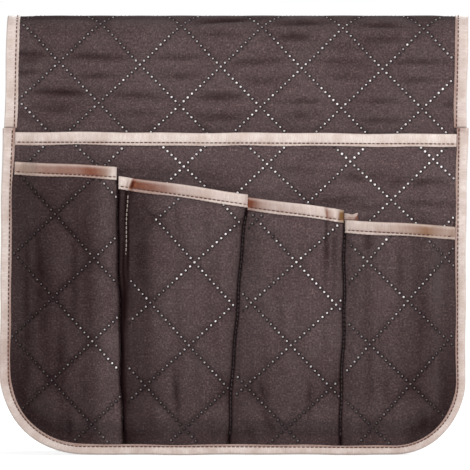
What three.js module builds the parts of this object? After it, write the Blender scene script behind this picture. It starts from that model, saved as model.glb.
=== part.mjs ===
// Sofa armrest organizer: a quilted cloth that hangs over a sofa arm, with one wide pocket and four
// narrow ones on its front flap. The cloth is three layers deep and its edges are bound with tape.
// Millimetres. X runs along the arm, the front flap faces -Y, and Z is up from the top of the arm.
import * as THREE from "three";
import { mergeVertices } from "three/addons/utils/BufferGeometryUtils.js";

// Size of the whole cloth
const armWidth = 200;
const bendRadius = 22;
const clothWidth = 325;
const frontDrop = 304;
const backDrop = 296;
const frontCornerLeft = 56;
const frontCornerRight = 49;
const backCorner = 52;

// Layers of the quilted cloth
const clothThickness = 0.4;
const layerGap = 0.2;
const waddingLoft = 2.4;
const waddingPressed = 0.3;
const puffHeight = 1.2;

// Diamonds of the quilting, corner to corner, and one of their crossings
const diamondWidth = 57.3;
const diamondHeight = 55.9;
const crossingAside = -66.2;
const crossingDrop = 30;

// Tapes
const tapeWall = 0.4;
const tapeWidth = 9.2;
const tapeReach = 1.2;
const hemReach = 2.3;
const mouthTapeReach = 1;
const hemStart = 75;
const threadWidth = 0.8;
const threadHeight = 0.3;
const threadFromTapeEdge = 1.8;
const foldRound = 1;

// Pockets: drop of the wide mouth below the arm's top at its left and right end, how far the mouths
// gape, and how the gape closes towards the hem
const wideMouthLeft = 78.8;
const wideMouthRight = 80.2;
const wideGape = 8;
const wideTaper = 1;
const pocketGape = 13;
const pocketTaper = 0.8;
const pocketSquareness = 0.6;
const seamGap = 0.6;
const seamMargin = 2.4;

// Seams between the four pockets of the strip: how far aside each lies, at the mouth and at the hem.
// The tuck is the flat cloth that shows beside the first seam, as wide as this at the mouth.
const seam1AtMouth = -82;
const seam1AtHem = -77.3;
const seam1Tuck = 7.6;
const seam2AtMouth = 12.5;
const seam2AtHem = -3.5;
const seam3AtMouth = 78.4;
const seam3AtHem = 75;
const dividers = [
  { mouth: seam1AtMouth, hem: seam1AtHem, tuck: seam1Tuck },
  { mouth: seam2AtMouth, hem: seam2AtHem, tuck: 0 },
  { mouth: seam3AtMouth, hem: seam3AtHem, tuck: 0 },
];

// Drop of each mouth of the strip below the arm's top, at its left and right end
const mouth1Left = 99.4;
const mouth1Right = 103.6;
const mouth2Left = 110;
const mouth2Right = 123.1;
const mouth3Left = 124.9;
const mouth3Right = 134.1;
const mouth4Left = 141.1;
const mouth4Right = 146.1;
const mouths = [
  { left: mouth1Left, right: mouth1Right },
  { left: mouth2Left, right: mouth2Right },
  { left: mouth3Left, right: mouth3Right },
  { left: mouth4Left, right: mouth4Right },
];

// Where the hem tape begins and ends its rise over one more cloth, above that cloth's mouth
const hemRiseStart = 9;
const hemRiseEnd = 3;

// Steps of the meshes
const bendSteps = 6;
const cornerSteps = 4;
const tapeCornerSteps = 8;
const leastStep = 4.5;
const pressedWidth = 14;
const riseWidth = 14;
const columnSqueeze = 2;
const pieceGap = 0.3;
const leastRow = 1;
const belowTape = 2;
const weldTolerance = 1e-4;

// Lengths along the cloth, from the middle of the arm over the bend and down the flap
const halfWidth = clothWidth / 2;
const flatHalf = armWidth / 2 - bendRadius;
const bendLength = (bendRadius * Math.PI) / 2;
const bendMiddle = flatHalf + bendLength / 2;
const dropStart = flatHalf + bendLength;
const alongAt = (drop) => dropStart + drop - bendRadius;

const pressedCloth = 2 * clothThickness + 2 * layerGap + waddingPressed;
const innerLeg = tapeWall + layerGap;
const mouthLeg = tapeWall + 2 * layerGap;
const crossing = alongAt(crossingDrop);
const frontHem = { end: alongAt(frontDrop), left: frontCornerLeft, right: frontCornerRight };
const backHem = { end: alongAt(backDrop), left: backCorner, right: backCorner };
const noHem = { end: Infinity, left: 0, right: 0 };

// Materials
const coloured = (color, roughness) => new THREE.MeshStandardMaterial({ color, roughness, metalness: 0 });
const faceCloth = coloured(0x54464a, 0.85);
const liningCloth = coloured(0x463b3b, 0.9);
const wadding = coloured(0xe6e1d8, 1);
const satinTape = coloured(0xdfcbc1, 0.35);
const thread = coloured(0x8c6f62, 0.6);

// A point of the cloth: u along the arm, s along the cloth from the arm's middle (negative behind),
// t out from the arm.
function place(u, s, t) {
  const length = Math.abs(s);
  const side = s < 0 ? 1 : -1;
  if (length <= flatHalf) return new THREE.Vector3(u, side * length, t);
  if (length >= dropStart) {
    return new THREE.Vector3(u, side * (armWidth / 2 + t), dropStart - length - bendRadius);
  }
  const turn = (length - flatHalf) / bendRadius;
  const reach = bendRadius + t;
  const y = flatHalf + reach * Math.sin(turn);
  return new THREE.Vector3(u, side * y, reach * Math.cos(turn) - bendRadius);
}

// One closed body from triangles given as points in threes, turned so that its faces point out
function solid(points) {
  let volume = 0;
  for (let i = 0; i < points.length; i += 3) {
    volume += points[i].dot(points[i + 1].clone().cross(points[i + 2]));
  }
  if (volume < 0) points.reverse();
  const loose = new THREE.BufferGeometry().setFromPoints(points);
  const merged = mergeVertices(loose, weldTolerance);
  merged.computeVertexNormals();
  return merged;
}

// A closed sheet over a grid of [u, s] points, between two heights
function sheet(grid, low, high) {
  const lastRow = grid.length - 1;
  const lastColumn = grid[0].length - 1;
  const raise = (height) => grid.map((row) => row.map(([u, s]) => {
    const t = height(u, s);
    return { at: place(u, s, t), t };
  }));
  const above = raise(high);
  const below = raise(low);
  const points = [];
  const quad = (a, b, c, d) => {
    // Split along the valley, so that the welded lines stay sharp
    if (a.t + c.t > b.t + d.t) points.push(a.at, b.at, d.at, b.at, c.at, d.at);
    else points.push(a.at, b.at, c.at, a.at, c.at, d.at);
  };
  for (let r = 0; r < lastRow; r += 1) {
    for (let c = 0; c < lastColumn; c += 1) {
      quad(above[r][c], above[r][c + 1], above[r + 1][c + 1], above[r + 1][c]);
      quad(below[r + 1][c], below[r + 1][c + 1], below[r][c + 1], below[r][c]);
    }
    quad(above[r][0], above[r + 1][0], below[r + 1][0], below[r][0]);
    quad(above[r + 1][lastColumn], above[r][lastColumn], below[r][lastColumn], below[r + 1][lastColumn]);
  }
  for (let c = 0; c < lastColumn; c += 1) {
    quad(above[0][c + 1], above[0][c], below[0][c], below[0][c + 1]);
    quad(above[lastRow][c], above[lastRow][c + 1], below[lastRow][c + 1], below[lastRow][c]);
  }
  return solid(points);
}

// A section carried along a path on the cloth. A path point gives the place at a way into the cloth.
function sweep(path, sectionAt) {
  const sections = path.map(sectionAt);
  const rings = path.map(({ at }, k) => sections[k].map(([n, t]) => place(...at(n), t)));
  const points = [];
  for (let k = 0; k < rings.length - 1; k += 1) {
    rings[k].forEach((corner, i) => {
      const next = (i + 1) % rings[k].length;
      points.push(corner, rings[k + 1][i], rings[k + 1][next]);
      points.push(corner, rings[k + 1][next], rings[k][next]);
    });
  }
  const capOf = (k, turned) => {
    const outline = sections[k].map(([n, t]) => new THREE.Vector2(n, t));
    THREE.ShapeUtils.triangulateShape(outline, []).forEach((face) => {
      const order = turned ? [face[0], face[2], face[1]] : face;
      points.push(...order.map((i) => rings[k][i]));
    });
  };
  const clockwise = THREE.ShapeUtils.isClockWise(sections[0].map(([n, t]) => new THREE.Vector2(n, t)));
  capOf(0, clockwise);
  capOf(rings.length - 1, !clockwise);
  return solid(points);
}

// Where the rows and columns of the quilting fall between two ends
function lattice(origin, step, from, to) {
  const found = [];
  for (let k = Math.ceil((from - origin) / step); origin + k * step <= to; k += 1) {
    found.push(origin + k * step);
  }
  return found;
}

// Keeps every needed place, and those of the others that aren't close to one already kept
function spread(needed, others) {
  const kept = [...needed];
  others.forEach((line) => {
    if (kept.every((other) => Math.abs(other - line) >= leastStep)) kept.push(line);
  });
  return kept.sort((a, b) => a - b);
}

const smooth = (x) => THREE.MathUtils.smoothstep(x, 0, 1);

// How far a point lies inside the cut edge of the cloth, with its rounded bottom corners
function insideEdge(u, s, hem) {
  const radius = u < 0 ? hem.left : hem.right;
  const aside = halfWidth - Math.abs(u);
  const below = hem.end - Math.abs(s);
  if (aside >= radius || below >= radius) return Math.min(aside, below);
  return radius - Math.hypot(radius - aside, radius - below);
}

// The side edge of the cloth at one height, or the line that lies an inset inside it
function edgeAt(s, hem, side, inset) {
  const radius = side < 0 ? hem.left : hem.right;
  const into = Math.max(0, radius - (hem.end - Math.abs(s)));
  const arc = Math.max(0, (radius - inset) ** 2 - into ** 2);
  const straight = hem === noHem ? halfWidth - inset : halfWidth - radius + Math.sqrt(arc);
  return side * straight;
}

// 0 along the welded lines of the quilting, 1 in the middle of a diamond. The quilting of one cloth
// may lie half a diamond to the side of another's.
function puff(u, s, aside) {
  const across = (u - crossingAside) / diamondWidth - (aside ? 1 / 2 : 0);
  const down = (s - crossing) / diamondHeight;
  return Math.abs(Math.sin(Math.PI * (across + down)) * Math.sin(Math.PI * (across - down)));
}

// A quilted cloth has a floor that it lies on, its loft from 0 to 1, and its quilting aside or not
const upToWadding = clothThickness + layerGap;
const waddingAt = (loft) => waddingPressed + loft * (waddingLoft - waddingPressed);
const crown = (cloth, u, s) => (
  cloth.floor(u, s) + pressedCloth + cloth.loft(u, s) * (waddingLoft - waddingPressed + puffHeight)
);

// Face, wadding and lining. The plain layers need only the rows where the cloth bends or is rounded.
function quilted(name, cloth, grid, plainGrid) {
  const { floor, loft, aside } = cloth;
  const waddingLow = (u, s) => floor(u, s) + upToWadding;
  const waddingHigh = (u, s) => waddingLow(u, s) + waddingAt(loft(u, s));
  const faceLow = (u, s) => waddingHigh(u, s) + layerGap;
  const faceHigh = (u, s) => faceLow(u, s) + clothThickness + puffHeight * loft(u, s) * puff(u, s, aside);
  return [
    named(`${name}_lining`, sheet(plainGrid, floor, (u, s) => floor(u, s) + clothThickness), liningCloth),
    named(`${name}_wadding`, sheet(plainGrid, waddingLow, waddingHigh), wadding),
    named(`${name}_face`, sheet(grid, faceLow, faceHigh), faceCloth),
  ];
}

function named(name, geometry, material) {
  const mesh = new THREE.Mesh(geometry, material);
  mesh.name = name;
  return mesh;
}

// Grids
const columnStep = diamondWidth / 2;
const rowStep = diamondHeight / 2;
const bendRows = [];
for (let k = 0; k <= bendSteps; k += 1) {
  bendRows.push(flatHalf + (bendLength * k) / bendSteps);
}
const cornerRows = (hem) => {
  const radius = Math.max(hem.left, hem.right);
  const rows = [];
  for (let k = 0; k <= cornerSteps; k += 1) {
    rows.push(hem.end - radius * (1 - Math.sin((Math.PI / 2) * (k / cornerSteps))));
  }
  return rows;
};
const rowsBetween = (from, to, extra) => (
  [from, ...extra.filter((s) => s > from + leastRow && s < to - leastRow), to]
);
const withQuilting = (rows) => (
  spread(rows, lattice(crossing, rowStep, Math.min(...rows), Math.max(...rows)))
);
const outerColumns = [halfWidth, halfWidth - pressedWidth];
const wideColumns = spread(
  [-outerColumns[0], -outerColumns[1], outerColumns[1], outerColumns[0]],
  lattice(crossingAside, columnStep, -halfWidth, halfWidth),
);

// Moves a column in where a rounded corner cuts across it
function squeezed(u, s, hem) {
  const side = u < 0 ? -1 : 1;
  const rank = wideColumns.filter((other) => side * other > side * u).length;
  const inset = rank === 0 ? 0 : pressedWidth + columnSqueeze * (rank - 1);
  return side * Math.min(side * u, side * edgeAt(s, hem, side, inset));
}

const panelGrid = (rows, hem) => rows.map((s) => wideColumns.map((u) => [squeezed(u, s, hem), s]));
const panel = (name, cloth, rows, hem) => (
  quilted(name, cloth, panelGrid(withQuilting(rows), hem), panelGrid([...rows].sort((a, b) => a - b), hem))
);

// Tapes
function foldedSection(low, high, width) {
  const fold = Math.min(foldRound, (high - low) / 3);
  return [
    [width, low], [fold, low], [0, low + fold], [0, high - fold], [fold, high], [width, high],
    [width, high - tapeWall], [fold, high - tapeWall], [tapeWall, high - fold],
    [tapeWall, low + fold], [fold, low + tapeWall], [width, low + tapeWall],
  ];
}
const sidePath = (side, reach, rows) => rows.map((s) => ({
  side, s, at: (n) => [side * (halfWidth + reach - n), s],
}));

// Round the hem from one upper end to the other. Back is -1 for the flap behind the arm.
function hemPath(hem, reach, upper, back) {
  const straight = upper.map((s) => ({ turn: 0, s }));
  const half = (side, radius) => {
    const turns = [...straight];
    for (let k = 0; k <= tapeCornerSteps; k += 1) {
      turns.push({ turn: (Math.PI / 2) * (k / tapeCornerSteps), s: hem.end - radius });
    }
    return turns.map(({ turn, s }) => ({
      side,
      s,
      at: (n) => [
        side * (halfWidth - radius + (radius + reach - n) * Math.cos(turn)),
        back * (s + (radius + reach - n) * Math.sin(turn)),
      ],
    }));
  };
  return [...half(-1, hem.left), ...half(1, hem.right).reverse()];
}

function ribbonSection(from, low) {
  const to = from + threadWidth;
  const high = low + threadHeight;
  return [[from, low], [to, low], [to, high], [from, high]];
}
const stitchLine = tapeWidth - threadFromTapeEdge;
const legTop = (cloths) => (
  innerLeg + cloths * (pressedCloth + layerGap) + (cloths - 1) * mouthLeg + tapeWall
);

// The main cloth, cut where each flap turns down
const liePressed = (u, s, hem) => smooth((insideEdge(u, s, hem) - pressedWidth) / riseWidth);
const mainCloth = (hem) => {
  const loft = (u, s) => liePressed(u, s, hem);
  return { floor: (u, s) => innerLeg * (1 - loft(u, s)), loft, aside: false };
};
const cut = bendMiddle - pieceGap / 2;
const flapStart = bendMiddle + pieceGap / 2;
const bothSides = (rows) => [...rows.map((s) => -s), ...rows];
const frontRows = rowsBetween(flapStart, frontHem.end, [...bendRows, ...cornerRows(frontHem)]);
const backRows = rowsBetween(flapStart, backHem.end, [...bendRows, ...cornerRows(backHem)]);
const top = new THREE.Group();
top.add(...panel("top", mainCloth(noHem), rowsBetween(-cut, cut, bothSides(bendRows)), noHem));
const frontCloth = mainCloth(frontHem);
const frontFlap = new THREE.Group();
frontFlap.add(...panel("front", frontCloth, frontRows, frontHem));
const backFlap = new THREE.Group();
backFlap.add(...panel("back", mainCloth(backHem), backRows.map((s) => -s), backHem));

const edgeRows = (from, to) => rowsBetween(from, to, bothSides(bendRows)).sort((a, b) => a - b);
const hemUpper = alongAt(hemStart);
const plainTape = () => foldedSection(0, legTop(1), tapeWidth);
const plainStitches = () => ribbonSection(stitchLine, legTop(1) + layerGap);
[["left", -1], ["right", 1]].forEach(([word, side]) => {
  const addTape = (group, name, rows) => {
    const path = sidePath(side, tapeReach, rows);
    group.add(named(`${name}_tape_${word}`, sweep(path, plainTape), satinTape));
    group.add(named(`${name}_stitches_${word}`, sweep(path, plainStitches), thread));
  };
  addTape(top, "top_edge", edgeRows(-cut, cut));
  addTape(frontFlap, "front_edge", edgeRows(flapStart, hemUpper - pieceGap));
});
const backUpper = edgeRows(flapStart, dropStart + leastRow);
const backPath = hemPath(backHem, tapeReach, backUpper, -1);
backFlap.add(named("back_hem_tape", sweep(backPath, plainTape), satinTape));
backFlap.add(named("back_hem_stitches", sweep(backPath, plainStitches), thread));

// The wide pocket lies on the front flap and is sewn in at its sides and hem
const mouthAt = (mouth, left, right) => (u) => (
  alongAt(THREE.MathUtils.mapLinear(u, left, right, mouth.left, mouth.right))
);
const wideMouth = mouthAt({ left: wideMouthLeft, right: wideMouthRight }, -halfWidth, halfWidth);
const depthIn = (s, mouth) => THREE.MathUtils.clamp((s - mouth) / (frontHem.end - mouth), 0, 1);
const awayFromMouth = (s, mouth) => smooth((s - mouth - tapeWidth - belowTape) / riseWidth);
const widePocket = {
  loft: (u, s) => Math.min(liePressed(u, s, frontHem), awayFromMouth(s, wideMouth(u))),
  floor: (u, s) => {
    const open = (1 - (u / halfWidth) ** 2) * (1 - depthIn(s, wideMouth(u))) ** wideTaper;
    return crown(frontCloth, u, s) + layerGap + mouthLeg + wideGape * open * liePressed(u, s, frontHem);
  },
  aside: true,
  mouthMiddle: wideMouth(0),
};

// Rows of a pocket: its mouth, the tape's lower edge, then the rows of the quilting
function pocketRows(mouthEnds) {
  const lowest = Math.max(...mouthEnds) + tapeWidth + belowTape;
  const below = withQuilting(rowsBetween(lowest, frontHem.end, cornerRows(frontHem)));
  return below.filter((s) => s - lowest >= leastStep);
}
function pocketGrid(columns, mouth, mouthMiddle, rows) {
  const first = columns.map((column) => {
    const s = mouth(column(mouthMiddle));
    return [column(s), s];
  });
  const tapeEdge = first.map(([, s]) => s + tapeWidth + leastRow);
  const second = columns.map((column, k) => [column(tapeEdge[k]), tapeEdge[k]]);
  return [first, second, ...rows.map((s) => columns.map((column) => [column(s), s]))];
}
const wideRows = pocketRows([wideMouth(-halfWidth), wideMouth(halfWidth)]);
const wideGrid = pocketGrid(
  wideColumns.map((u) => (s) => squeezed(u, s, frontHem)), wideMouth, wideMouth(0), wideRows,
);
frontFlap.add(...quilted("wide_pocket", widePocket, wideGrid, wideGrid));

// The tape on a pocket's mouth, which follows the cloth as it bows out
function addMouthTape(name, cloth, mouth, places) {
  const path = places.map((column) => {
    const start = mouth(column(cloth.mouthMiddle));
    return { start, column, at: (n) => [column(start + n - mouthTapeReach), start + n - mouthTapeReach] };
  });
  const onCloth = (section) => ({ start, column }) => section.map(([n, t]) => {
    const s = Math.max(start + n - mouthTapeReach, start);
    return [n, cloth.floor(column(s), s) + t];
  });
  const tape = foldedSection(-mouthLeg, pressedCloth + mouthLeg, tapeWidth);
  const stitches = ribbonSection(stitchLine, pressedCloth + mouthLeg + layerGap);
  frontFlap.add(named(`${name}_tape`, sweep(path, onCloth(tape)), satinTape));
  frontFlap.add(named(`${name}_stitches`, sweep(path, onCloth(stitches)), thread));
}
const tapeEnd = halfWidth + hemReach - tapeWidth - pieceGap;
const wideTapeColumns = [-tapeEnd, ...wideColumns.slice(1, -1), tapeEnd].map((u) => () => u);
addMouthTape("wide_pocket", widePocket, wideMouth, wideTapeColumns);

// The four pockets of the strip in front. A seam runs from the mouth to the hem between two of them.
const downStrip = (s) => (s - alongAt(mouths[0].left)) / (frontHem.end - alongAt(mouths[0].left));
const dividerAt = ({ mouth, hem }, shift) => (s) => THREE.MathUtils.lerp(mouth, hem, downStrip(s)) + shift;
const tuckAt = ({ tuck }, s) => tuck * (1 - downStrip(s));
const stripFloor = (u, s) => crown(widePocket, u, s) + layerGap + mouthLeg;
const pockets = mouths.map((mouthDrop, k) => {
  const first = k === 0;
  const last = k === mouths.length - 1;
  const leftEdge = first ? (s) => edgeAt(s, frontHem, -1, 0) : dividerAt(dividers[k - 1], seamGap / 2);
  const rightEdge = last ? (s) => edgeAt(s, frontHem, 1, 0) : dividerAt(dividers[k], -seamGap / 2);
  const leftSeam = (s) => leftEdge(s) + (first ? 0 : tuckAt(dividers[k - 1], s) + seamMargin);
  const mouthMiddle = alongAt((mouthDrop.left + mouthDrop.right) / 2);
  const mouth = mouthAt(mouthDrop, leftEdge(mouthMiddle), rightEdge(mouthMiddle));
  const fromSeam = (u, s) => Math.min(
    first ? Infinity : u - leftSeam(s),
    last ? Infinity : rightEdge(s) - u,
  );
  const loft = (u, s) => Math.min(
    liePressed(u, s, frontHem),
    awayFromMouth(s, mouth(u)),
    smooth(fromSeam(u, s) / riseWidth),
  );
  const floor = (u, s) => {
    const across = THREE.MathUtils.clamp((u - leftSeam(s)) / (rightEdge(s) - leftSeam(s)), 0, 1);
    const openAcross = Math.sin(Math.PI * across) ** pocketSquareness;
    const openDown = (1 - depthIn(s, mouth(u))) ** pocketTaper;
    return stripFloor(u, s) + pocketGape * openAcross * openDown * liePressed(u, s, frontHem);
  };
  return { first, last, leftEdge, rightEdge, leftSeam, mouthMiddle, mouth, loft, floor, aside: k > 1 };
});
pockets.forEach((pocket, k) => {
  const { first, last, leftEdge, rightEdge, leftSeam, mouthMiddle, mouth } = pocket;
  const name = `pocket_${k + 1}`;
  const ends = [mouthMiddle, frontHem.end];
  const insideLeft = first ? -halfWidth : Math.max(...ends.map(leftSeam));
  const insideRight = last ? halfWidth : Math.min(...ends.map(rightEdge));
  const between = wideColumns.filter((u) => u > insideLeft + leastStep && u < insideRight - leastStep);
  const columns = [
    leftEdge,
    ...(first ? [] : [leftSeam]),
    ...between.map((u) => (s) => (first || last ? squeezed(u, s, frontHem) : u)),
    rightEdge,
  ];
  const left = leftEdge(mouthMiddle);
  const right = rightEdge(mouthMiddle);
  const rows = pocketRows([mouth(left), mouth(right)]);
  const grid = pocketGrid(columns, mouth, mouthMiddle, rows);
  frontFlap.add(...quilted(name, pocket, grid, grid));
  const tapeLeft = first ? () => -tapeEnd : leftEdge;
  const tapeRight = last ? () => tapeEnd : rightEdge;
  addMouthTape(name, pocket, mouth, [tapeLeft, ...columns.slice(1, -1), tapeRight]);
});

// The stitches of each divider seam, along the left side of the pocket to its right
dividers.forEach((divider, k) => {
  const pocket = pockets[k + 1];
  const from = alongAt(mouths[k + 1].left) + tapeWidth + 2 * mouthTapeReach;
  const to = frontHem.end - tapeWidth;
  const rows = pocketRows([from - tapeWidth]).filter((s) => s > from + leastStep && s < to - leastStep);
  const path = [from, ...rows, to].map((s) => {
    const u = pocket.leftSeam(s) - seamMargin;
    return { u, s, at: (n) => [u + n, s] };
  });
  const onCloth = pressedCloth + 2 * layerGap;
  const onSeam = ({ u, s }) => ribbonSection(threadWidth / 2, stripFloor(u, s) + onCloth);
  frontFlap.add(named(`divider_stitches_${k + 1}`, sweep(path, onSeam), thread));
});

// The hem tape of the front flap wraps one cloth at its upper ends, then two, then three
const stripLeft = alongAt(mouths[0].left);
const stripRight = alongAt(mouths[mouths.length - 1].right);
const raised = (s, mouth) => smooth((s - mouth + hemRiseStart) / (hemRiseStart - hemRiseEnd));
const hemTop = ({ side, s }) => {
  const strip = side < 0 ? stripLeft : stripRight;
  return legTop(1) + (legTop(2) - legTop(1)) * (raised(s, wideMouth(0)) + raised(s, strip));
};
const riseRows = [wideMouth(0), stripLeft, stripRight].flatMap((s) => [s - hemRiseStart, s - hemRiseEnd]);
const hemRows = [hemUpper, ...riseRows.filter((s) => s > hemUpper + leastRow).sort((a, b) => a - b)];
const frontPath = hemPath(frontHem, hemReach, hemRows, 1);
const hemFold = (point) => foldedSection(0, hemTop(point), tapeWidth);
const hemStitch = (point) => ribbonSection(stitchLine, hemTop(point) + layerGap);
frontFlap.add(named("front_hem_tape", sweep(frontPath, hemFold), satinTape));
frontFlap.add(named("front_hem_stitches", sweep(frontPath, hemStitch), thread));

const organizer = new THREE.Group();
organizer.add(top, frontFlap, backFlap);
export default organizer;
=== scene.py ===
import math

import bmesh
import bpy
import numpy as np
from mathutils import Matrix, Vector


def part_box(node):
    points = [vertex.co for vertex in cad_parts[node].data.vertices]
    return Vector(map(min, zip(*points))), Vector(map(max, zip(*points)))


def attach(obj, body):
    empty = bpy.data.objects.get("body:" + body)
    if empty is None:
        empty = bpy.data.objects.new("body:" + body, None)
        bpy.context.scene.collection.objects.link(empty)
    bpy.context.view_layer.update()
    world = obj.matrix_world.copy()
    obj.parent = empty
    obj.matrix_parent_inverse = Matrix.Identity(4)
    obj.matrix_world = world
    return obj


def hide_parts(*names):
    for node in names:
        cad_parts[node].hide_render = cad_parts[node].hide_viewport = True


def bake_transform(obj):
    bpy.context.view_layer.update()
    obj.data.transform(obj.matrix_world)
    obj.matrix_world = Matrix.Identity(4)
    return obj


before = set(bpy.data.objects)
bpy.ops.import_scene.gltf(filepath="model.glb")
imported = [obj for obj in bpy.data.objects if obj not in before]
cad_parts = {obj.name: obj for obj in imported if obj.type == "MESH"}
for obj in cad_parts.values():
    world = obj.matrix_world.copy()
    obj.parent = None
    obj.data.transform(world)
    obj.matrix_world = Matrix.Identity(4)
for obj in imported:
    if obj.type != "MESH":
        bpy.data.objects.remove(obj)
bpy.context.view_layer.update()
bpy.ops.object.select_all(action="DESELECT")

# The main cloth runs over the arm and down both sides: brushed polyester in front, thin wadding and a
# plain woven lining, welded together in diamonds and cut with rounded lower corners. It is made in two
# halves that meet on a row of crossings on top of the arm, one for each flap that lifts.
arm_half = 100.0
bend_radius = 22.0
half_width = 1000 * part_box("top_lining")[1].x
front_drop = -1000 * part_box("front_lining")[0].z
back_drop = -1000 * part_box("back_lining")[0].z
flat_half = arm_half - bend_radius
drop_start = flat_half + bend_radius * math.pi / 2
tape_width = 9.2
cloth_thickness = 0.4
pressed_cloth = 1.5
puffed_cloth = 3.3
under_tape = 0.6
rise_on_arm = 2.6
stretched_on_arm = 0.85
pressed_width = 10.0
rise_width = 14.0
askew_on_arm = 3.9
askew_below = 0.5
hangs_straight = 250.0
random = np.random.default_rng(7)


def along_at(drop):
    """How far along the cloth a drop below the top of the arm is."""
    return drop_start + drop - bend_radius


def askew(s):
    """How far aside the cloth lies: it was laid over the arm a little to the right, and hangs back."""
    hung = np.clip((np.abs(s) - flat_half) / hangs_straight, 0, 1)
    return askew_on_arm * (1 - hung) ** 1.5 - askew_below


front_hem = {"end": along_at(front_drop), "left": 56.0, "right": 49.0}
back_hem = {"end": along_at(back_drop), "left": 52.0, "right": 52.0}
hem_end = front_hem["end"]


def place(u, s, t):
    """A point of the cloth in metres: u along the arm, s along the cloth from the arm's middle, which is
    negative behind, and t out from the arm."""
    u, s, t = np.broadcast_arrays(u, s, t)
    length = np.abs(s)
    turn = np.clip((length - flat_half) / bend_radius, 0, math.pi / 2)
    reach = bend_radius + t
    y = np.minimum(length, flat_half) + reach * np.sin(turn)
    z = reach * np.cos(turn) - bend_radius - np.maximum(length - drop_start, 0)
    return np.stack([u + askew(s), np.where(s < 0, y, -y), z], axis=-1) / 1000


def smooth(x):
    x = np.clip(x, 0, 1)
    return x * x * (3 - 2 * x)


def ramp(x, start, over):
    """0 up to a start, then a smooth rise to 1 over a distance."""
    return smooth((x - start) / over)


def bump_at(x, middle, width):
    """1 at a middle, and less with distance from it."""
    return np.exp(-((x - middle) / width) ** 2)


def round_corners(u, s, hem):
    """Draws the lower corners of a square grid in to the rounded cut of the cloth."""
    radius = np.where(u < 0, hem["left"], hem["right"])
    aside = np.clip((np.abs(u) - half_width) / radius + 1, 0, None)
    down = np.clip((np.abs(s) - hem["end"]) / radius + 1, 0, None)
    new_aside = aside * np.sqrt(1 - down**2 / 2)
    new_down = down * np.sqrt(1 - aside**2 / 2)
    side, back = np.where(u < 0, -1, 1), np.where(s < 0, -1, 1)
    return u + side * radius * (new_aside - aside), s + back * radius * (new_down - down)


def inside_edge(u, s, hem):
    """How far a point lies inside the cut edge of the cloth."""
    radius = np.where(u < 0, hem["left"], hem["right"])
    aside, below = half_width - np.abs(u), hem["end"] - np.abs(s)
    corner = radius - np.hypot(np.maximum(radius - aside, 0), np.maximum(radius - below, 0))
    return np.where((aside >= radius) | (below >= radius), np.minimum(aside, below), corner)


def lie_pressed(u, s, hem):
    """0 where the tape presses the layers together, 1 where the wadding has its full loft."""
    return ramp(inside_edge(u, s, hem), pressed_width, rise_width)


def over_arm(s):
    """1 on top of the arm, 0 down its sides."""
    return 1 - smooth((np.abs(s) - flat_half + 4) / (bend_radius + 16))


def blown_quilting():
    """Heights over one diamond of the quilting, from 0 to 1, by a cloth simulation of three by three: the
    face cloth is held at its weld dots, and the spring of the wadding blows it up between them."""
    steps, across, dot_every, frames = 40, 3, 2, 14
    size = 0.573
    i, j = np.meshgrid(np.arange(across * steps + 1), np.arange(across * steps + 1))
    start = 0.01 * np.abs(np.sin(np.pi * (i + j) / steps) * np.sin(np.pi * (i - j) / steps))
    points = np.stack([i * size / steps, j * size / steps, start], -1).reshape(-1, 3)
    at = np.arange(i.size).reshape(i.shape)
    quads = np.stack([at[:-1, :-1], at[:-1, 1:], at[1:, 1:], at[1:, :-1]], -1).reshape(-1, 4)
    mesh = bpy.data.meshes.new("swatch")
    mesh.from_pydata(points.tolist(), [], quads.tolist())
    swatch = bpy.data.objects.new("swatch", mesh)
    bpy.context.scene.collection.objects.link(swatch)
    welded = (((i + j) % steps == 0) | ((i - j) % steps == 0)) & (i % dot_every == 0)
    swatch.vertex_groups.new(name="welds").add(at[welded].tolist(), 1.0, "REPLACE")
    cloth = swatch.modifiers.new("cloth", "CLOTH")
    for name, value in dict(
        vertex_group_mass="welds", mass=0.002, tension_stiffness=5, compression_stiffness=5,
        shear_stiffness=2, bending_stiffness=0.01, use_pressure=True, uniform_pressure_force=8.0,
    ).items():
        setattr(cloth.settings, name, value)
    cloth.settings.effector_weights.gravity = 0
    cloth.collision_settings.use_collision = False
    for step in range(1, frames + 1):
        bpy.context.scene.frame_set(step)
    blown = swatch.evaluated_get(bpy.context.evaluated_depsgraph_get()).to_mesh()
    middle = slice(steps, 2 * steps + 1)
    heights = np.array([v.co.z for v in blown.vertices]).reshape(i.shape)[middle, middle]
    bpy.data.meshes.remove(mesh)
    bpy.context.scene.frame_set(1)
    heights = heights + heights[::-1]
    heights = heights + heights[:, ::-1]
    return np.clip(heights / heights.max(), 0, 1)


blown = blown_quilting()


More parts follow.
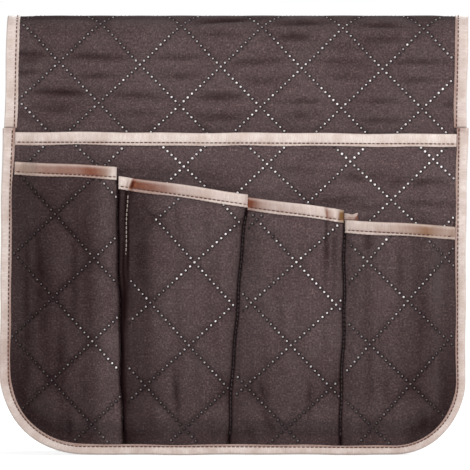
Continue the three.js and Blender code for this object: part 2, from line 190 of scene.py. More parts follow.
class Quilting:
    """The welded diamonds of one cloth: a crossing, the size of a diamond from corner to corner, how far
    a column leans aside, and how far a row falls and bows as it goes along. Rows are level on the arm."""

    dots_per_side = 10

    def __init__(self, crossing, width, height, lean=0.0, fall=0.0, bow=0.0):
        self.crossing, self.width, self.height = crossing, width, height
        self.lean, self.fall, self.bow = lean, fall, bow
        self.side = math.hypot(width, height) / 2

    def sag(self, u, s):
        aside = u - self.crossing[0]
        return (self.fall * aside + self.bow * aside**2) * ramp(np.abs(s), 15, 60)

    def lines(self, u, s):
        """The two sets of welded lines are where one of these is a whole number."""
        across = (u - self.crossing[0] - self.lean * (s - self.crossing[1])) / self.width
        down = (s - self.crossing[1] - self.sag(u, s)) / self.height
        return across + down, across - down

    def puff(self, u, s):
        """Height of the quilting from 0 to 1, read from the blown swatch."""
        p, q = self.lines(u, s)
        steps = len(blown) - 1
        x, y = (p + q) / 2 % 1 * steps, (p - q) / 2 % 1 * steps
        i, j = np.minimum(x.astype(int), steps - 1), np.minimum(y.astype(int), steps - 1)
        x, y = x - i, y - j
        above = blown[j, i] * (1 - x) + blown[j, i + 1] * x
        below = blown[j + 1, i] * (1 - x) + blown[j + 1, i + 1] * x
        return above * (1 - y) + below * y

    def dots(self, low, high):
        """Places of the weld dots between two corners of the cloth."""
        reach = 2 * int(max(high[0] - low[0], high[1] - low[1]) / self.side) + 4
        whole = np.arange(-reach, reach + 1)
        part = np.arange(-reach * self.dots_per_side, reach * self.dots_per_side + 1) / self.dots_per_side
        falling = np.stack(np.meshgrid(whole, part), -1).reshape(-1, 2)
        rising = np.stack(np.meshgrid(part, whole), -1).reshape(-1, 2)
        rising = rising[np.abs(rising[:, 0] - np.round(rising[:, 0])) > 0.01]
        p, q = np.concatenate([falling, rising]).T
        u = straight = self.crossing[0] + (p + q) / 2 * self.width
        s = level = self.crossing[1] + (p - q) / 2 * self.height
        for _ in range(4):
            u = straight + self.lean * (s - self.crossing[1])
            s = level + self.sag(u, s)
        inside = (u > low[0]) & (u < high[0]) & (s > low[1]) & (s < high[1])
        return u[inside], s[inside]


def new_piece(name, points, faces, maps, material, values=None):
    """One smooth mesh with its maps, each with a pair of numbers a point, and its faces turned out."""
    mesh = bpy.data.meshes.new(name)
    mesh.from_pydata(points.reshape(-1, 3).tolist(), [], faces)
    turned = bmesh.new()
    turned.from_mesh(mesh)
    bmesh.ops.recalc_face_normals(turned, faces=turned.faces)
    turned.to_mesh(mesh)
    turned.free()
    corner = np.zeros(len(mesh.loops), np.int32)
    mesh.loops.foreach_get("vertex_index", corner)
    for map_name, pairs in maps.items():
        layer = mesh.uv_layers.new(name=map_name)
        layer.data.foreach_set("uv", pairs.reshape(-1, 2)[corner].astype(np.float32).ravel())
    for value_name, numbers in (values or {}).items():
        layer = mesh.attributes.new(value_name, "FLOAT", "POINT")
        layer.data.foreach_set("value", numbers.astype(np.float32).ravel())
    mesh.materials.append(material)
    mesh.shade_smooth()
    piece = bpy.data.objects.new(name, mesh)
    bpy.context.scene.collection.objects.link(piece)
    return piece


def closed_sheet(name, u, s, low, high, quilting, material, values=None):
    """A closed sheet over a grid of points of the cloth, between two heights."""
    count = u.size
    points = np.concatenate([place(u, s, high).reshape(-1, 3), place(u, s, low).reshape(-1, 3)])
    at = np.arange(count).reshape(u.shape)
    quads = np.stack([at[:-1, :-1], at[1:, :-1], at[1:, 1:], at[:-1, 1:]], -1).reshape(-1, 4)
    rim = np.concatenate([at[0, :-1], at[:-1, -1], at[-1, :0:-1], at[:0:-1, 0]])
    after = np.roll(rim, -1)
    sides = np.stack([rim, after, after + count, rim + count], -1)
    faces = np.concatenate([quads, quads[:, ::-1] + count, sides]).tolist()
    cut = np.stack([u, s], -1).reshape(-1, 2) / 1000
    welds = np.stack(quilting.lines(u, s), -1).reshape(-1, 2)
    return new_piece(
        name, points, faces, {"cut": np.tile(cut, (2, 1)), "welds": np.tile(welds, (2, 1))},
        material, {key: np.tile(value.reshape(-1), 2) for key, value in (values or {}).items()},
    )


def linear(hex_colour):
    """The linear colour of an sRGB hex value."""
    parts = [int(hex_colour[i:i + 2], 16) / 255 for i in (1, 3, 5)]
    return [x / 12.92 if x <= 0.04045 else ((x + 0.055) / 1.055) ** 2.4 for x in parts] + [1.0]


class Nodes:
    """The nodes of a material, which is made here, or of the world. What feeds an input is a socket, a
    hex colour or a number. Each method gives the output of what it adds."""

    def __init__(self, owner, shader="Principled BSDF"):
        self.owner = bpy.data.materials.new(owner) if isinstance(owner, str) else owner
        self.owner.use_nodes = True
        self.tree = self.owner.node_tree
        self.shader = self.tree.nodes[shader]

    def feed(self, node, **inputs):
        """Feeds the inputs of a node by name, or by number after in."""
        for key, value in inputs.items():
            socket = node.inputs[int(key[2:]) if key[2:].isdigit() else key.replace("_", " ")]
            if isinstance(value, bpy.types.NodeSocket):
                self.tree.links.new(value, socket)
            else:
                socket.default_value = linear(value) if isinstance(value, str) else value

    def add(self, kind, *sources, output=0, **settings):
        """Adds a node: what feeds its first inputs, then its properties, and its other inputs by name."""
        node = self.tree.nodes.new("ShaderNode" + kind)
        own = [key for key in settings if hasattr(node, key)]
        for key in own:
            setattr(node, key, settings.pop(key))
        self.feed(node, **{f"in{k}": source for k, source in enumerate(sources)}, **settings)
        return node.outputs[output]

    def uv(self, name):
        return self.add("UVMap", uv_map=name)

    def value(self, name):
        return self.add("Attribute", attribute_name=name, output="Fac")

    def noise(self, where, **settings):
        return self.add("TexNoise", where, **settings)

    def sums(self, operation, *values):
        return self.add("Math", *values, operation=operation)

    def mix(self, amount, first, second):
        return self.add("Mix", amount, data_type="RGBA", output=2, in6=first, in7=second)

    def spread(self, value, low, high, to_low=0.0, to_high=1.0):
        return self.add("MapRange", value, low, high, to_low, to_high, interpolation_type="SMOOTHSTEP")

    def finish(self, **inputs):
        """Feeds the shader and gives its owner."""
        self.feed(self.shader, **inputs)
        return self.owner


def weld_distance(nodes, aside):
    """Millimetres from the nearest weld dot, read from the cloth's map of its welded lines."""
    diamond_side = 40.0
    p, q = nodes.add("SeparateXYZ", nodes.uv("welds")).node.outputs[:2]
    p = nodes.sums("SUBTRACT", p, aside)
    lengths = []
    for line, along in ((p, q), (q, p)):
        off = nodes.sums("PINGPONG", line, 0.5)
        down = nodes.sums("PINGPONG", along, 0.5 / Quilting.dots_per_side)
        pair = nodes.add("CombineXYZ", off, down)
        lengths.append(nodes.add("VectorMath", pair, operation="LENGTH", output="Value"))
    return nodes.sums("MULTIPLY", nodes.sums("MINIMUM", *lengths), diamond_side)


def brushed_polyester():
    """Brushed polyester: a short dull nap over a fine weave, lighter where it is rubbed, under the cloth's
    painted shade and a painted shadow in the hollow round each weld."""
    nodes = Nodes("brushed_polyester")
    cut = nodes.uv("cut")
    nap = nodes.noise(cut, Scale=1500.0, Detail=2.0)
    tufts = nodes.noise(cut, Scale=720.0, Detail=3.0, Roughness=0.7)
    lie = nodes.noise(cut, Scale=190.0, Detail=3.0, Roughness=0.6)
    patches = nodes.noise(cut, Scale=28.0, Detail=4.0, Roughness=0.6)
    shade, welded = nodes.value("shade"), nodes.value("welded")
    cloth = nodes.mix(nodes.spread(patches, 0.3, 0.7), "#584445", "#625151")
    cloth = nodes.mix(nodes.spread(lie, 0.36, 0.62, 0.3, 0.0), cloth, "#403133")
    cloth = nodes.mix(nodes.spread(nap, 0.35, 0.65, 0.0, 0.5), cloth, "#433336")
    thick = nodes.spread(lie, 0.4, 0.62, 0.5, 1.0)
    light = nodes.sums("MULTIPLY", nodes.spread(tufts, 0.48, 0.7, 0.0, 0.85), thick)
    cloth = nodes.mix(light, cloth, "#86706f")
    cloth = nodes.mix(nodes.spread(tufts, 0.3, 0.5, 0.75, 0.0), cloth, "#32272a")
    # The cloth's painted shade darkens the nap.
    cloth = nodes.mix(shade, cloth, "#1c0f10")
    # Painted shadow in the hollow round each weld, set a little to one side as a pit's shadow falls.
    pit_shadow = nodes.spread(weld_distance(nodes, 0.012), 0.9, 1.9, 0.75, 0.0)
    cloth = nodes.mix(nodes.sums("MULTIPLY", pit_shadow, welded), cloth, "#1d1516")
    dent = nodes.spread(weld_distance(nodes, 0.0), 0.6, 2.2, -1.0, 0.0)
    fibres = nodes.sums("MULTIPLY_ADD", nap, 0.25, nodes.sums("MULTIPLY", dent, welded))
    # Less shine and sheen where the shade is painted.
    nodes.finish(Specular_IOR_Level=0.2, Sheen_Weight=0.1)
    return nodes.finish(
        Base_Color=cloth, Roughness=0.85, Sheen_Roughness=0.5,
        Normal=nodes.add("Bump", Height=fibres, Strength=0.6, Distance=0.0005),
        Specular_IOR_Level=nodes.spread(shade, 0.0, 0.8, 0.25, 0.02),
        Sheen_Weight=nodes.spread(shade, 0.0, 0.8, 0.12, 0.0),
    )


def woven_lining():
    """Plain woven polyester: dull and smooth, with its threads drawn 1 mm apart so that they show."""
    nodes = Nodes("woven_lining")
    cut = nodes.uv("cut")
    a_millimetre = 1000 / 2 / math.pi
    weave = nodes.sums("MULTIPLY", *[
        nodes.add("TexWave", cut, bands_direction=way, Scale=a_millimetre, output="Fac") for way in "XY"
    ])
    bump = nodes.add("Bump", Height=weave, Strength=0.3, Distance=0.0002)
    return nodes.finish(Base_Color=nodes.mix(weave, "#3a2f30", "#4a3d3d"), Normal=bump, Roughness=0.8)


def fibre_wadding():
    """Polyester wadding: white loose fibres, which are seen as soft streaks."""
    nodes = Nodes("fibre_wadding")
    streaks = nodes.noise(nodes.uv("cut"), Scale=400.0, Detail=6.0, Distortion=1.5)
    bump = nodes.add("Bump", Height=streaks, Strength=0.5, Distance=0.001)
    return nodes.finish(Base_Color=nodes.mix(streaks, "#d9d4ca", "#f2efe8"), Normal=bump, Roughness=1.0)


def melted_polyester():
    """Polyester melted by the welding: small smooth glassy spots, coloured by a painted highlight from
    dark to near white, with less shine and coat where it is painted low."""
    nodes = Nodes("melted_polyester")
    glint = nodes.value("glint")
    nodes.finish(Coat_Weight=0.3)
    return nodes.finish(
        Base_Color=nodes.mix(glint, "#453838", "#fbf4f4"), Roughness=0.3,
        Specular_IOR_Level=nodes.spread(glint, 0.0, 0.4, 0.12, 0.5),
        Coat_Weight=nodes.spread(glint, 0.0, 0.4, 0.0, 0.3),
    )


face_cloth = brushed_polyester()
lining_cloth = woven_lining()
wadding_fibre = fibre_wadding()
weld_spot = melted_polyester()


def crease(u, s, middle_u, middle_s, way, length, width, depth):
    """A soft crease in the cloth, as a depth below its surface. Way is its angle from level."""
    turn = math.radians(way)
    along = (u - middle_u) * math.cos(turn) + (s - middle_s) * math.sin(turn)
    off = (s - middle_s) * math.cos(turn) - (u - middle_u) * math.sin(turn)
    return -depth * bump_at(off, 0, width) * bump_at(along, 0, 1.15 * length)


def creases_at(*rows):
    """Creases from rows of aside, drop, way, length, width and depth."""
    return [(u, along_at(drop), *rest) for u, drop, *rest in rows]


def wrinkles(low, high, count, way, length=(12, 26), depth=(0.3, 1.0)):
    """Small soft wrinkles scattered over a part of a cloth, deeper where they lie level."""
    return [
        (
            random.uniform(low[0], high[0]), random.uniform(low[1], high[1]), random.normal(way, 3),
            random.uniform(*length), random.uniform(2.0, 3.8), random.uniform(*depth) * (0.45 if way else 1),
        )
        for _ in range(count)
    ]


class Cloth:
    """One quilted cloth: its floor, how much loft it has, its welded diamonds, its creases and its painted
    shade, by itself and along its welds. The face and the wadding rise a little, and more in a puff."""

    face_rise, face_puff = 0.9, 2.4
    pad_start, pad_rise, pad_puff = 0.8, 0.6, 0.8

    def __init__(self, floor, loft, quilting, creases, shade, weld_shade=0.26):
        self.floor, self.loft, self.quilting, self.creases = floor, loft, quilting, creases
        self.shade, self.weld_shade = shade, weld_shade

    def crown(self, u, s):
        """A height that clears the cloth."""
        return self.floor(u, s) + pressed_cloth + puffed_cloth * self.loft(u, s)

    def dip(self, u, s):
        """The creases, which fade where a weld holds the cloth."""
        return sum((crease(u, s, *one) for one in self.creases), 0 * u) * smooth(2 * self.quilting.puff(u, s))

    def painted_shade(self, u, s):
        """Painted shade: the cloth's own, with painted shadow in its creases and along its welds."""
        along_weld = (1 - self.quilting.puff(u, s)) ** 5 * self.loft(u, s)
        crease_and_weld_shade = -0.42 * self.dip(u, s) + self.weld_shade * along_weld
        return (self.shade(u, s) + crease_and_weld_shade - 0.04).clip(0, 1)

    def surface(self, u, s):
        """Height of the face: it is stretched flatter over the arm than where it hangs."""
        puffed = self.face_puff * self.quilting.puff(u, s) * (1 - stretched_on_arm * over_arm(s))
        relief = self.face_rise + puffed + self.dip(u, s)
        return self.floor(u, s) + pressed_cloth + self.loft(u, s) * relief

    def pad(self, u, s):
        """Height of the wadding under the face."""
        puffed = self.pad_puff * self.quilting.puff(u, s) ** 2 * (1 - stretched_on_arm * over_arm(s))
        relief = self.pad_rise + puffed + self.dip(u, s)
        return self.floor(u, s) + self.pad_start + self.loft(u, s) * relief


def small_ball(segments, rings, radius, stretch, turned=0.0):
    """Points and faces of a ball that is turned from upright and then stretched, in millimetres."""
    bpy.ops.mesh.primitive_uv_sphere_add(
        segments=segments, ring_count=rings, radius=radius, rotation=(0, turned, 0),
    )
    bpy.ops.object.mode_set(mode="EDIT")
    bpy.ops.mesh.select_all(action="SELECT")
    bpy.ops.transform.resize(value=stretch)
    bpy.ops.object.mode_set(mode="OBJECT")
    bpy.ops.object.transform_apply(location=False, rotation=True, scale=True)
    mesh = bpy.context.object.data
    points, faces = np.array([v.co for v in mesh.vertices]), [list(f.vertices) for f in mesh.polygons]
    bpy.data.meshes.remove(mesh)
    return points, faces


def copies(shape, middles, ways, sizes):
    """The points and faces of many copies of a small shape. Ways are its three axes at each place."""
    points, faces = shape
    placed = middles[:, None, :] + np.einsum("pk,nkj->npj", points, ways) * sizes[:, None, None] / 1000
    step = len(points)
    return placed, [[i + n * step for i in face] for n in range(len(middles)) for face in faces]


# Each weld dot is a low dome with its rim under the nap.
weld_dot = small_ball(8, 5, 0.82, (1, 1, 0.45))


def unit(ways):
    return ways / np.linalg.norm(ways, axis=1)[:, None]


def axes_on(surface, u, s):
    """Place and axes on a surface of the cloth: aside, along and out."""
    step = 0.4
    middle = place(u, s, surface(u, s))
    aside = unit(place(u + step, s, surface(u + step, s)) - middle)
    along = place(u, s + step, surface(u, s + step)) - middle
    out = unit(np.cross(along, aside))
    return middle, np.stack([aside, np.cross(out, aside), out], axis=1)


def shine(u, s):
    """The painted highlight on the weld dots by place: most in the middle of the front, and least at its
    left, along its bottom and low at its right."""
    from_left = smooth((u + 112 + 30 * ramp(s, along_at(185), 30)) / 62)
    least = 0.55 - 0.35 * ramp(s, along_at(85), 25)
    upper = 0.62 + 0.28 * ramp(s, along_at(22), 20)
    at_right = 1 - 0.6 * ramp(u, 112, 30) * ramp(s, along_at(130), 30)
    low_down, at_hem = ramp(s, along_at(190), 30), ramp(s, along_at(240), 35)
    at_bottom = (1 - 0.35 * low_down) * (1 - 0.7 * at_hem)
    return upper * (least + (1 - least) * from_left) * at_right * at_bottom


def weld_dots(name, cloth, low, high, inside):
    """All the weld dots of a cloth between two corners, where a test says that they show."""
    u, s = cloth.quilting.dots(low, high)
    kept = inside(u, s)
    u, s = u[kept], s[kept]
    middle, ways = axes_on(cloth.surface, u, s)
    # Painted highlight on each dot: brighter where it faces the light, uneven along the welds, and dimmer by
    # place and under the cloth's painted shade.
    to_light = np.array([0.45, -0.85, 0.25])
    glint = 0.42 + 0.6 * ramp(ways[:, 2] @ to_light, 0.55, 0.4) + random.normal(0, 0.16, len(u))
    stretches = np.sin(u / 9.3 + s / 31) * np.cos(s / 8.1 - u / 27)
    glint = glint * (1 + 1.2 * cloth.weld_shade * stretches)
    glint = (glint * shine(u, s) * (1 - 0.4 * cloth.shade(u, s))).clip(0.02, 1)
    sizes = (0.84 + 0.3 * glint + random.normal(0, 0.05, len(u))).clip(0.75, 1.15)
    points, faces = copies(weld_dot, middle, ways, sizes)
    maps = {"cut": np.repeat(np.stack([u, s], -1), points.shape[1], axis=0) / 1000}
    piece = new_piece(name, points, faces, maps, weld_spot, {"glint": np.repeat(glint, points.shape[1])})
    return piece


def quilted(name, cloth, grid, plain_step, size, nodes, follow, dots):
    """Lining, wadding and face of one quilted cloth, from grids of points at a given step. Size, its flat
    size and area, is not used, and dots are two corners and a test for its weld dots."""
    face_step = 1.75
    u, s = grid(plain_step)
    floor = cloth.floor(u, s)
    top_of_lining = floor + cloth_thickness
    lining = closed_sheet(name + "_lining_cloth", u, s, floor, top_of_lining, cloth.quilting, lining_cloth)
    pad = closed_sheet(
        name + "_wadding_fill", u, s, top_of_lining + 0.1, cloth.pad(u, s), cloth.quilting, wadding_fibre,
    )
    u, s = grid(face_step)
    high = cloth.surface(u, s)
    # The face carries the cloth's painted shade, and welded keeps the painted shadows round the weld dots to
    # where the dots show.
    face = closed_sheet(
        name + "_face_cloth", u, s, high - cloth_thickness, high, cloth.quilting, face_cloth,
        {"shade": cloth.painted_shade(u, s), "welded": 1.0 * dots[2](u, s)},
    )
    spots = weld_dots(name + "_weld_dots", cloth, *dots)
    for piece, layer, slot in (
        (lining, "lining", "lining_cloth"), (pad, "wadding", "wadding"), (face, "face", "face_cloth"),
    ):
        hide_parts(*[f"{node}_{layer}" for node in nodes])
    for piece in (lining, pad, face, spots):
        follow(piece)


def bends():
    """Gives a function that bakes a piece's place into its mesh."""
    return lambda piece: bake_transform(piece)


bends_in_front = bends()
bends_behind = bends()
diamond = (57.3, 55.9)
front_crossing = (-68.6, along_at(30.0))
middle_row = front_crossing[1] - 2 * diamond[1]
main_quilting = Quilting(front_crossing, *diamond, fall=0.0285, bow=-6e-5)


def main_shade(u, s):
    """Painted shade: dark where the cloth turns away from the light over the arm's edge, and darker at its
    left and a little at its right."""
    turned = 0.42 * bump_at(np.abs(s), 82, 7) + 0.14 * (1 - ramp(np.abs(s), 92, 30))
    aside = 0.16 * (1 - ramp(u, -150, 110)) + 0.06 * ramp(u, 60, 50)
    return turned + aside * (np.abs(s) > flat_half) + 0.03


def main_cloth(hem, creases):
    def floor(u, s):
        return under_tape * (1 - lie_pressed(u, s, hem)) + rise_on_arm * over_arm(s)

    return Cloth(floor, lambda u, s: lie_pressed(u, s, hem), main_quilting, creases, main_shade)


def spaced(start, end, step):
    return np.linspace(start, end, max(2, round(abs(end - start) / step) + 1))


def half_grid(hem, end):
    def grid(step):
        u, s = np.meshgrid(spaced(-half_width, half_width, step), spaced(middle_row, end, step))
        return round_corners(u, s, hem)

    return grid


def cut_size(length, hem):
    """Flat size and area, in metres, of a cloth as wide as the organizer with rounded lower corners."""
    width = 2 * half_width
    lost = (1 - math.pi / 4) * (hem["left"] ** 2 + hem["right"] ** 2)
    return (width / 1000, length / 1000), (width * length - lost) / 1e6


def level_folds():
    """Two level folds in each diamond that shows above the wide pocket: one over its middle, and a
    shorter and softer one under it."""
    for row, columns in ((-1, range(-1, 4)), (0, np.arange(-1.5, 4)), (1, range(-1, 5))):
        for column in columns:
            u = front_crossing[0] + column * diamond[0]
            s = front_crossing[1] + row * diamond[1] / 2
            s = s + main_quilting.sag(u, s)
            slack = 0.2 if row < 0 and column < 1 else 1
            for below, length, deepest in ((-4.2, 20, 1.15), (7.2, 13, 0.85)):
                yield (
                    u + random.normal(0, 3), s + below + random.normal(0, 1.2), random.normal(0, 2),
                    length * random.uniform(0.7, 1.2), random.uniform(2.0, 3.0),
                    slack * deepest * random.uniform(0.9, 1.25),
                )


front_cloth = main_cloth(front_hem, [
    *creases_at((-147, 27, -12, 9, 3, 0.8), (-147, 66, 28, 12, 3, 0.9)),
    *level_folds(),
    *wrinkles((-150, along_at(5)), (150, along_at(74)), 14, 0, depth=(0.2, 0.6)),
])
back_cloth = main_cloth(back_hem, [
    (40, -along_at(60), 1, 80, 6, 0.4),
    (-60, -along_at(130), 3, 60, 5, 0.4),
    (20, -along_at(210), -2, 90, 7, 0.4),
    *wrinkles((-150, -along_at(280)), (150, -along_at(15)), 44, 0),
])


def clear_of_tape(hem, margin=8.2):
    return lambda u, s: inside_edge(u, s, hem) > margin


quilted(
    "front", front_cloth, half_grid(front_hem, hem_end), 3.5,
    cut_size(hem_end - middle_row, front_hem), ["top", "front"], bends_in_front,
    ((-half_width, middle_row), (half_width, along_at(96)), clear_of_tape(front_hem)),
)
quilted(
    "back", back_cloth, half_grid(back_hem, -back_hem["end"]), 3.5,
    cut_size(back_hem["end"] + middle_row, back_hem), ["top", "back"], bends_behind,
    ((-half_width, -back_hem["end"]), (half_width, middle_row - 1), clear_of_tape(back_hem)),
)

# The wide pocket is one more quilted cloth over the lower part of the front flap, sewn in with the hem
# at its sides and bottom. Its mouth gapes a little in the middle.
wide_drops = (78.8, 80.2)
wide_gape = 8.0
mouth_leg = 0.8
layer_gap = 0.2


def mouth_line(drops, left, right):
    """Where along the cloth a straight mouth lies at each place aside, from its drops at two places."""
    slope = (drops[1] - drops[0]) / (right - left)
    return lambda u: along_at(drops[0] + slope * (u - left))


def depth_in(s, mouth):
    return np.clip((s - mouth) / (hem_end - mouth), 0, 1)


def away_from_mouth(s, mouth):
    return smooth((s - mouth - tape_width) / rise_width)


wide_mouth = mouth_line(wide_drops, -half_width, half_width)


def wide_floor(u, s):
    gape = (1 - (u / half_width) ** 2) * (1 - depth_in(s, wide_mouth(u)))
    rest = front_cloth.crown(u, s) + layer_gap + mouth_leg
    return rest + wide_gape * gape * lie_pressed(u, s, front_hem)


def wide_loft(u, s):
    return np.minimum(lie_pressed(u, s, front_hem), away_from_mouth(s, wide_mouth(u)))


wide_cloth = Cloth(
    wide_floor, wide_loft, Quilting((-36.0, along_at(102.3)), 58.8, 55.9, fall=-0.0295),
    [
        *creases_at((138, 129, 2, 21, 2.4, 1.0), (-60, 100, 4, 50, 5, 0.4), (96, 132, 5, 20, 3, 0.9)),
        *wrinkles((-120, along_at(92)), (150, along_at(140)), 16, 0),
    ],
    # Painted shade, darker towards the left.
    lambda u, s: 0.18 * (1 - ramp(u, -140, 100)),
)


def wide_grid(step):
    u, share = np.meshgrid(spaced(-half_width, half_width, step), spaced(0, 1, step / 224))
    mouth = wide_mouth(u)
    return round_corners(u, mouth + share * (hem_end - mouth), front_hem)


def on_front_flap(piece):
    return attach(piece, "front_flap")


def below_mouth(u, s, mouth, margin):
    return (s > mouth(u) + tape_width - 0.8) & clear_of_tape(front_hem, margin)(u, s)


quilted(
    "wide_pocket", wide_cloth, wide_grid, 2.2, cut_size(front_drop - sum(wide_drops) / 2, front_hem),
    ["wide_pocket"], on_front_flap,
    (
        (-half_width, along_at(78)), (half_width, along_at(160)),
        lambda u, s: below_mouth(u, s, wide_mouth, 6.2),
    ),
)

# The four narrow pockets are a strip of the same quilted cloth in front of the wide pocket, sewn down
# between them. Each mouth lies lower than the last, and the cloth folds over at each seam.
pocket_gape = 13.0
seam_gap = 0.6
seam_margin = 2.4
dividers = [
    {"mouth": -83.1, "hem": -76.8, "tuck": 7.6, "bow": 0.0},
    {"mouth": 11.4, "hem": -3.0, "tuck": 0.0, "bow": -1.2},
    {"mouth": 77.3, "hem": 75.5, "tuck": 0.0, "bow": 2.0},
]
mouth_drops = [(99.4, 103.6), (110.0, 123.1), (124.9, 134.1), (141.1, 146.1)]
strip_top = along_at(mouth_drops[0][0])


def down_strip(s):
    return (s - strip_top) / (hem_end - strip_top)


def divider_line(divider, shift):
    """Where a seam between two pockets lies aside, by how far along: it bows and wavers a little."""
    def line(s):
        down = down_strip(s)
        bow = divider["bow"] * np.sin(np.pi * np.clip(down, 0, 1))
        waver = 0.3 * np.sin(s / 6.1 + divider["hem"]) + 0.35 * np.sin(s / 14.7)
        straight = divider["mouth"] + (divider["hem"] - divider["mouth"]) * down
        return straight + bow + waver * smooth(down * 6) + shift

    return line


def strip_floor(u, s):
    return wide_cloth.crown(u, s) + layer_gap + mouth_leg


class Pocket:
    """One narrow pocket: its edges, its mouth, and how it bows out from the seams beside it."""

    def __init__(self, number, quilting, creases, shade):
        self.number, self.name, self.shade = number, f"pocket_{number + 1}", shade
        self.first, self.last = number == 0, number == len(mouth_drops) - 1
        self.tuck = 0.0 if self.first else dividers[number - 1]["tuck"]
        self.left = lambda s: -half_width + 0 * s
        self.right = lambda s: half_width + 0 * s
        if not self.first:
            self.left = divider_line(dividers[number - 1], seam_gap / 2)
        if not self.last:
            self.right = divider_line(dividers[number], -seam_gap / 2)
        self.middle = along_at(sum(mouth_drops[number]) / 2)
        self.mouth = mouth_line(mouth_drops[number], self.left(self.middle), self.right(self.middle))
        middle, upright = self.middle, 88
        low, high = (self.left(middle) + 12, middle + 20), (self.right(middle) - 12, hem_end - 40)
        creases = [*creases_at(*creases), *wrinkles(low, high, 9, upright, (14, 34))]
        low, high = (self.left(hem_end) + 8, hem_end - 26), (self.right(hem_end) - 8, hem_end - 14)
        creases += wrinkles(low, high, 7, upright, (5, 9))
        self.cloth = Cloth(self.floor, self.loft, quilting, creases, self.seam_shade, weld_shade=0.38)

    def seam(self, s):
        """The line that the pocket bows out from at its left."""
        return self.left(s) + (0 if self.first else self.tuck * (1 - down_strip(s)) + seam_margin)

    def loft(self, u, s):
        loft = np.minimum(lie_pressed(u, s, front_hem), away_from_mouth(s, self.mouth(u)))
        if not self.first:
            loft = np.minimum(loft, smooth((u - self.seam(s)) / rise_width))
        if not self.last:
            loft = np.minimum(loft, smooth((self.right(s) - u + 3) / 8))
        return loft

    def from_seams(self, u, s):
        """Distance from the nearer of the pocket's own seams. The first pocket's lies open to the light."""
        at_left = u - self.left(s) + (1e3 if self.first else 0)
        at_right = (self.right(s) - u) * (2.2 if self.first else 1) + (1e3 if self.last else 0)
        return np.minimum(at_left, at_right)

    def seam_shade(self, u, s):
        """Painted shade: the pocket's own, with painted shadow in the seams, over the tuck and along the
        folds beside them.
        """
        near = self.from_seams(u, s)
        shade = self.shade(u, s) + 0.9 * (1 - smooth(near / 1.9)) + 0.16 * (1 - smooth(near / 11))
        # Painted shade low on the pocket, by the hem.
        from_hem = inside_edge(u, s, front_hem)
        below = 0.28 * (1 - ramp(from_hem, 9, 9)) + 0.13 * bump_at(from_hem, 44, 20)
        shade = shade + below * ramp(s, along_at(200), 60)
        if self.tuck:
            # Painted shadow over the tuck and in a line on each side of its stitches.
            stitched = u - self.seam(s) + seam_margin
            shade = shade + 0.3 * (1 - smooth(stitched + 0.5)) * ramp(s, along_at(175), 35)
            beside = 0.6 * (1 - 0.7 * ramp(s, along_at(180), 30))
            shade = shade + 0.5 * bump_at(stitched, -1.4, 1.0)
            shade = shade + beside * bump_at(stitched, 1.2, 0.9)
        return shade

    def floor(self, u, s):
        across = np.clip((u - self.seam(s)) / (self.right(s) - self.seam(s)), 0, 1)
        bow = np.sin(np.pi * across**1.3) ** 0.6
        gape = bow * (1 - depth_in(s, self.mouth(u))) ** 0.8
        return strip_floor(u, s) + pocket_gape * gape * lie_pressed(u, s, front_hem)

    def grid(self, step):
        left, right = self.left(self.middle), self.right(self.middle)
        lines = max(4, round((right - left) / step) + 1)
        share, down = np.meshgrid(np.linspace(0, 1, lines), spaced(0, 1, step / 200))
        top = self.mouth(left * (1 - share) + right * share)
        s = top + down * (hem_end - top)
        return round_corners(self.left(s) * (1 - share) + self.right(s) * share, s, front_hem)

    def inside(self, u, s):
        """Where weld dots show: clear of the tapes, the seams and the tuck."""
        clear = below_mouth(u, s, self.mouth, 5.6)
        if not self.first:
            clear &= u > self.seam(s) + 0.4
        if not self.last:
            clear &= u < self.right(s) - 1.2
        if self.tuck:
            clear &= (u > -56) | (s > along_at(178))
        return clear

    def size(self):
        """The cut's width, length and area in metres, measured along the cloth where it bows out."""
        u, s = self.grid(1.75)
        points = place(u, s, self.floor(u, s))
        across, down = np.diff(points, axis=1), np.diff(points, axis=0)
        cells = np.cross(across[:-1], down[:, :-1])
        wide, long = [np.linalg.norm(way, axis=2).sum(axis).max() for way, axis in ((across, 1), (down, 0))]
        return (float(wide), float(long)), float(np.linalg.norm(cells, axis=2).sum())


# Each pocket's own painted shade, darker on the sides of its cloth that face away from the light.
def first_shade(u, s):
    below = ramp(s, along_at(185), 40)
    across = 0.51 - 0.32 * ramp(u, -101, 13) - 0.14 * ramp(s, along_at(190), 50)
    return across + 0.1 * (1 - ramp(u, -142, 32)) * below


def second_shade(u, s):
    at_left = (0.42 - 0.12 * ramp(s, along_at(185), 30)) * (1 - ramp(u, -74, 34))
    return 0.1 + 0.06 * ramp(s, along_at(190), 50) + at_left


def third_shade(u, s):
    """Painted shade, with the painted shadows of two upright folds that hang from the gathered end of its
    tape.
    """
    gathered = 0.5 * bump_at(u, 65.7, 1.4) + 0.3 * bump_at(u, 70, 1.2)
    plain = 0.02 + 0.12 * ramp(s, along_at(190), 60) + 0.12 * (1 - ramp(u, 12, 14))
    return plain + gathered * (1 - ramp(s, along_at(158), 22))


def fourth_shade(u, s):
    return 0.1 + 0.22 * ramp(u, 112, 25) + 0.08 * ramp(s, along_at(200), 60)


